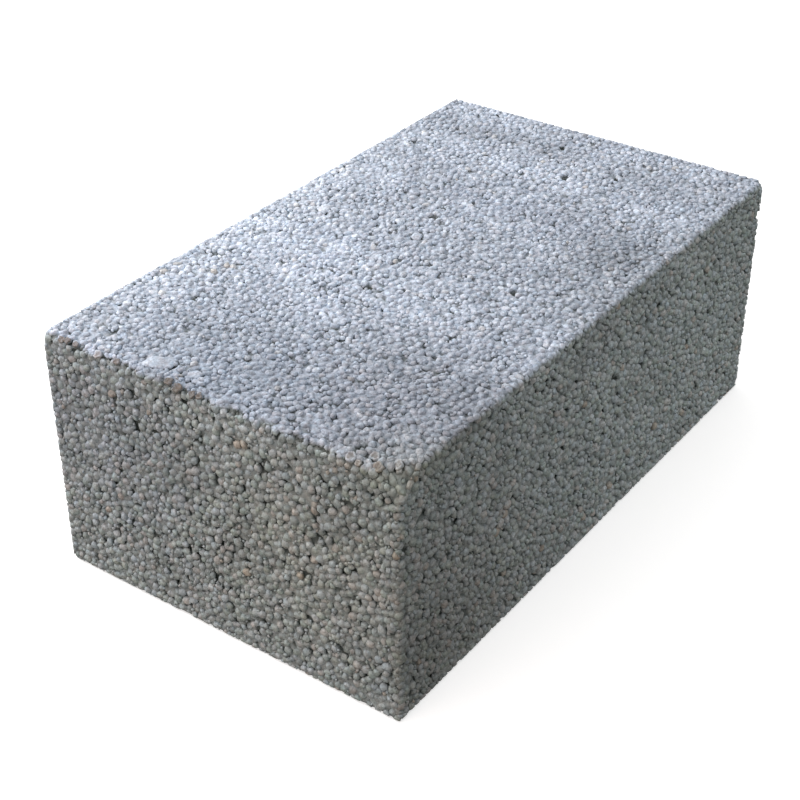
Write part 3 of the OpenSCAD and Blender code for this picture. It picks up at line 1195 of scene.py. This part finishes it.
# %% [markdown]
# ## Turned lumps
# The pads and the broken pellets are both turned shapes with an uneven outline, so one
# function makes them: it spins a profile, given from the lower pole to the upper one, and
# moves every point a little. A pad is a flat dome with a thin edge. A broken pellet ends in
# a rim round a hollow. Its core is the brown clay inside it, which shows from one step of
# the profile on, by a share that differs from point to point.

# %% Make the pads and the broken pellets
PAD_PROFILE = (
    (0.0, -1.0), (0.6, -0.95), (0.95, -0.75), (1.0, -0.5), (0.92, -0.25), (0.72, -0.1),
    (0.4, -0.02), (0.0, 0.0))
BROKEN_PROFILE = (
    (0.0, -1.0), (0.6, -0.8), (0.95, -0.3), (1.0, 0.0), (0.92, 0.14), (0.76, 0.17),
    (0.5, 0.11), (0.0, 0.08))
PALE_CORE = {"from_step": 6, "shows": (0.25, 0.7)}
BROWN_CORE = {"from_step": 3, "shows": (0.6, 1.0)}
PAD_THICKNESS_MM = 3.0
PAD_TINT = 0.85
TURNED_POINTS = 14
UNEVEN_SHARE = 0.26
ROUGH_SHARE = 0.04
LUMP_SEED = 11
lump_rng = np.random.default_rng(LUMP_SEED)


def turned_lump(shape, profile, place_mm, size_mm, tint, turn=0.0, tilt=0.0, core=None):
    """Adds a closed lump to a bmesh, turned about its axis and tilted towards low X."""
    matrix = (Matrix.Translation(Vector(place_mm) * MM)
              @ Matrix.Rotation(-math.radians(tilt), 4, "Y")
              @ Matrix.Rotation(math.radians(turn), 4, "Z")
              @ Matrix.Diagonal((*(Vector(size_mm) * MM), 1.0)))
    outline = lump_rng.uniform(1 - UNEVEN_SHARE, 1 + UNEVEN_SHARE, TURNED_POINTS)
    layers = shape.verts.layers.float
    rings = []
    for step, (radius, height) in enumerate(profile):
        count = TURNED_POINTS if radius > 0 else 1
        ring = []
        for i in range(count):
            angle = 2 * math.pi * i / TURNED_POINTS
            reach = radius * outline[i] * lump_rng.uniform(1 - ROUGH_SHARE, 1 + ROUGH_SHARE)
            point = (reach * math.cos(angle), reach * math.sin(angle), height)
            vertex = shape.verts.new(matrix @ Vector(point))
            vertex[layers["tint"]] = tint
            if core and step >= core["from_step"]:
                vertex[layers["core"]] = lump_rng.uniform(*core["shows"])
            ring.append(vertex)
        rings.append(ring)
    for i in range(TURNED_POINTS):
        j = (i + 1) % TURNED_POINTS
        shape.faces.new((rings[0][0], rings[1][j], rings[1][i]))
        for lower, upper in zip(rings[1:-1], rings[2:-1]):
            shape.faces.new((lower[i], lower[j], upper[j], upper[i]))
        shape.faces.new((rings[-1][0], rings[-2][i], rings[-2][j]))


def lump_piece(name, lumps):
    """One smooth piece of all these turned lumps."""
    shape = bmesh.new()
    for layer in ("tint", "core"):
        shape.verts.layers.float.new(layer)
    for lump in lumps:
        turned_lump(shape, **lump)
    mesh = bpy.data.meshes.new(name)
    shape.to_mesh(mesh)
    shape.free()
    mesh.shade_smooth()
    mesh.materials.append(concrete)
    print(name, "of", len(lumps), "lumps and", len(mesh.polygons), "faces")
    return piece_of(name, mesh)


pieces.append(lump_piece("paste_pads", [
    {"profile": PAD_PROFILE, "place_mm": (*place, HIGH.z / MM), "turn": degrees,
     "size_mm": (*reach, PAD_THICKNESS_MM), "tint": PAD_TINT}
    for place, reach, degrees in PADS_MM]))
for name, broken, core in (
        ("pale_broken_pellets", PALE_BROKEN_MM, PALE_CORE),
        ("brown_broken_pellets", BROWN_BROKEN_MM, BROWN_CORE)):
    pieces.append(lump_piece(name, [
        {"profile": BROKEN_PROFILE, "place_mm": place, "size_mm": size, "tilt": degrees,
         "tint": tint, "core": core}
        for place, size, degrees, tint in broken]))

# %% [markdown]
# ## Hand the pieces to the frame
# Every piece rides on the block's one body and has the concrete material, and the plain CAD
# block is hidden. The shapes, points and trees that only served to make the pieces are
# removed.

# %% Hand over
for piece in pieces:
    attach(piece, "root")
    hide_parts("block")
for group in (round_pellets, pressed_pellets, small_pellets):
    for shape in list(group.objects):
        bpy.data.objects.remove(shape)
    bpy.data.collections.remove(group)
bpy.data.objects.remove(missing_pellets)
for tree in (layer_tree, skin_tree):
    bpy.data.node_groups.remove(tree)
